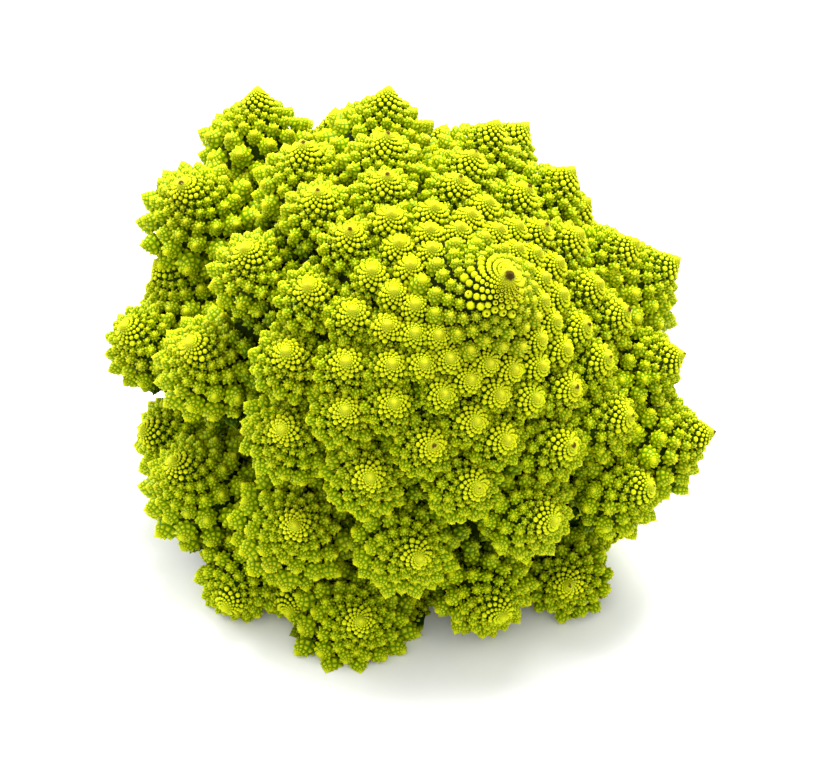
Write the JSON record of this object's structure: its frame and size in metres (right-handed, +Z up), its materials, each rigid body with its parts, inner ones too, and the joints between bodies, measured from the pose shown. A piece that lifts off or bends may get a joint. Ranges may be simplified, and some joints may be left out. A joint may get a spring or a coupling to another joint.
{
  "type": "romanesco head",
  "caption": "Whole romanesco head: a leaning dome of spiral pointed florets on a short cut stalk, for food, kitchen and market scenes",
  "frame": {"origin": "on the ground that the head lies on, under the middle of its box", "axes": "+Z up; -Y is the side that the apex leans toward; +X is to the right, seen from -Y"},
  "size_m": [0.1653, 0.1381, 0.1182],
  "materials": {
    "curd": "yellow-green florets, moist and faintly waxy, darker green in the gaps",
    "stalk": "pale green stalk with a smooth cut"
  },
  "bodies": {
    "root": {"curd": "curd", "stalk": "stalk"}
  },
  "joints": []
}
